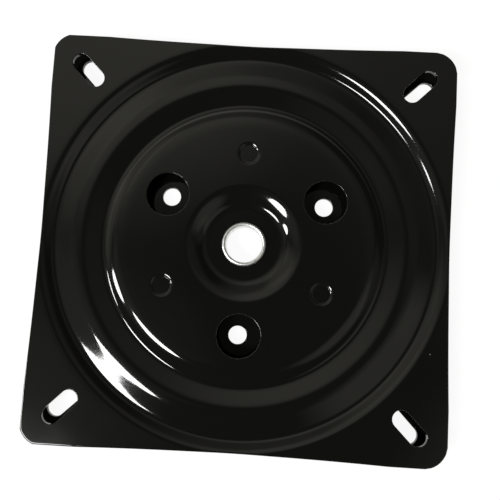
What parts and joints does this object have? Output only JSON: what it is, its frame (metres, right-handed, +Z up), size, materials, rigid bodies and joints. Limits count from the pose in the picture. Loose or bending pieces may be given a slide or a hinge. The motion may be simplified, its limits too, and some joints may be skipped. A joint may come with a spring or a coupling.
{
  "type": "seat swivel plate",
  "caption": "Square seat swivel of two pressed black steel plates that turn on a ball race about a hollow centre rivet, with corner slots for bolts.",
  "frame": {"origin": "middle of the lower mounting face, on the swivel axis", "axes": "+Z up along the swivel axis, from the lower plate to the upper plate; X and Y along the upper plate's edges"},
  "size_m": [0.1808, 0.1808, 0.0126],
  "materials": {
    "upper_enamel": "gloss black stove enamel",
    "lower_enamel": "gloss black stove enamel",
    "zinc_rivet": "bright zinc plate",
    "cage_steel": "plain cold rolled steel, oiled",
    "ball_steel": "ground and polished bearing steel",
    "nylon": "natural moulded nylon"
  },
  "bodies": {
    "base": {"lower_plate": "lower_enamel", "centre_rivet": "zinc_rivet", "thrust_washer": "nylon"},
    "turntable": {"upper_plate": "upper_enamel"},
    "ball_set": {"ball_cage": "cage_steel", "ball_01": "ball_steel", "ball_02": "ball_steel", "ball_03": "ball_steel", "ball_04": "ball_steel", "ball_05": "ball_steel", "ball_06": "ball_steel", "ball_07": "ball_steel", "ball_08": "ball_steel", "ball_09": "ball_steel", "ball_10": "ball_steel", "ball_11": "ball_steel", "ball_12": "ball_steel", "ball_13": "ball_steel", "ball_14": "ball_steel", "ball_15": "ball_steel", "ball_16": "ball_steel", "ball_17": "ball_steel", "ball_18": "ball_steel", "ball_19": "ball_steel", "ball_20": "ball_steel", "ball_21": "ball_steel", "ball_22": "ball_steel", "ball_23": "ball_steel", "ball_24": "ball_steel"}
  },
  "joints": [
    {"name": "swivel", "type": "hinge", "parent": "base", "child": "turntable", "pos_m": [0, 0, 0.0063], "axis": [0, 0, 1], "continuous": true},
    {"name": "race_roll", "type": "hinge", "parent": "base", "child": "ball_set", "pos_m": [0, 0, 0.0063], "axis": [0, 0, 1], "continuous": true}
  ],
  "couplings": [
    {"joint": "race_roll", "follows": "swivel", "ratio": 0.5}
  ]
}
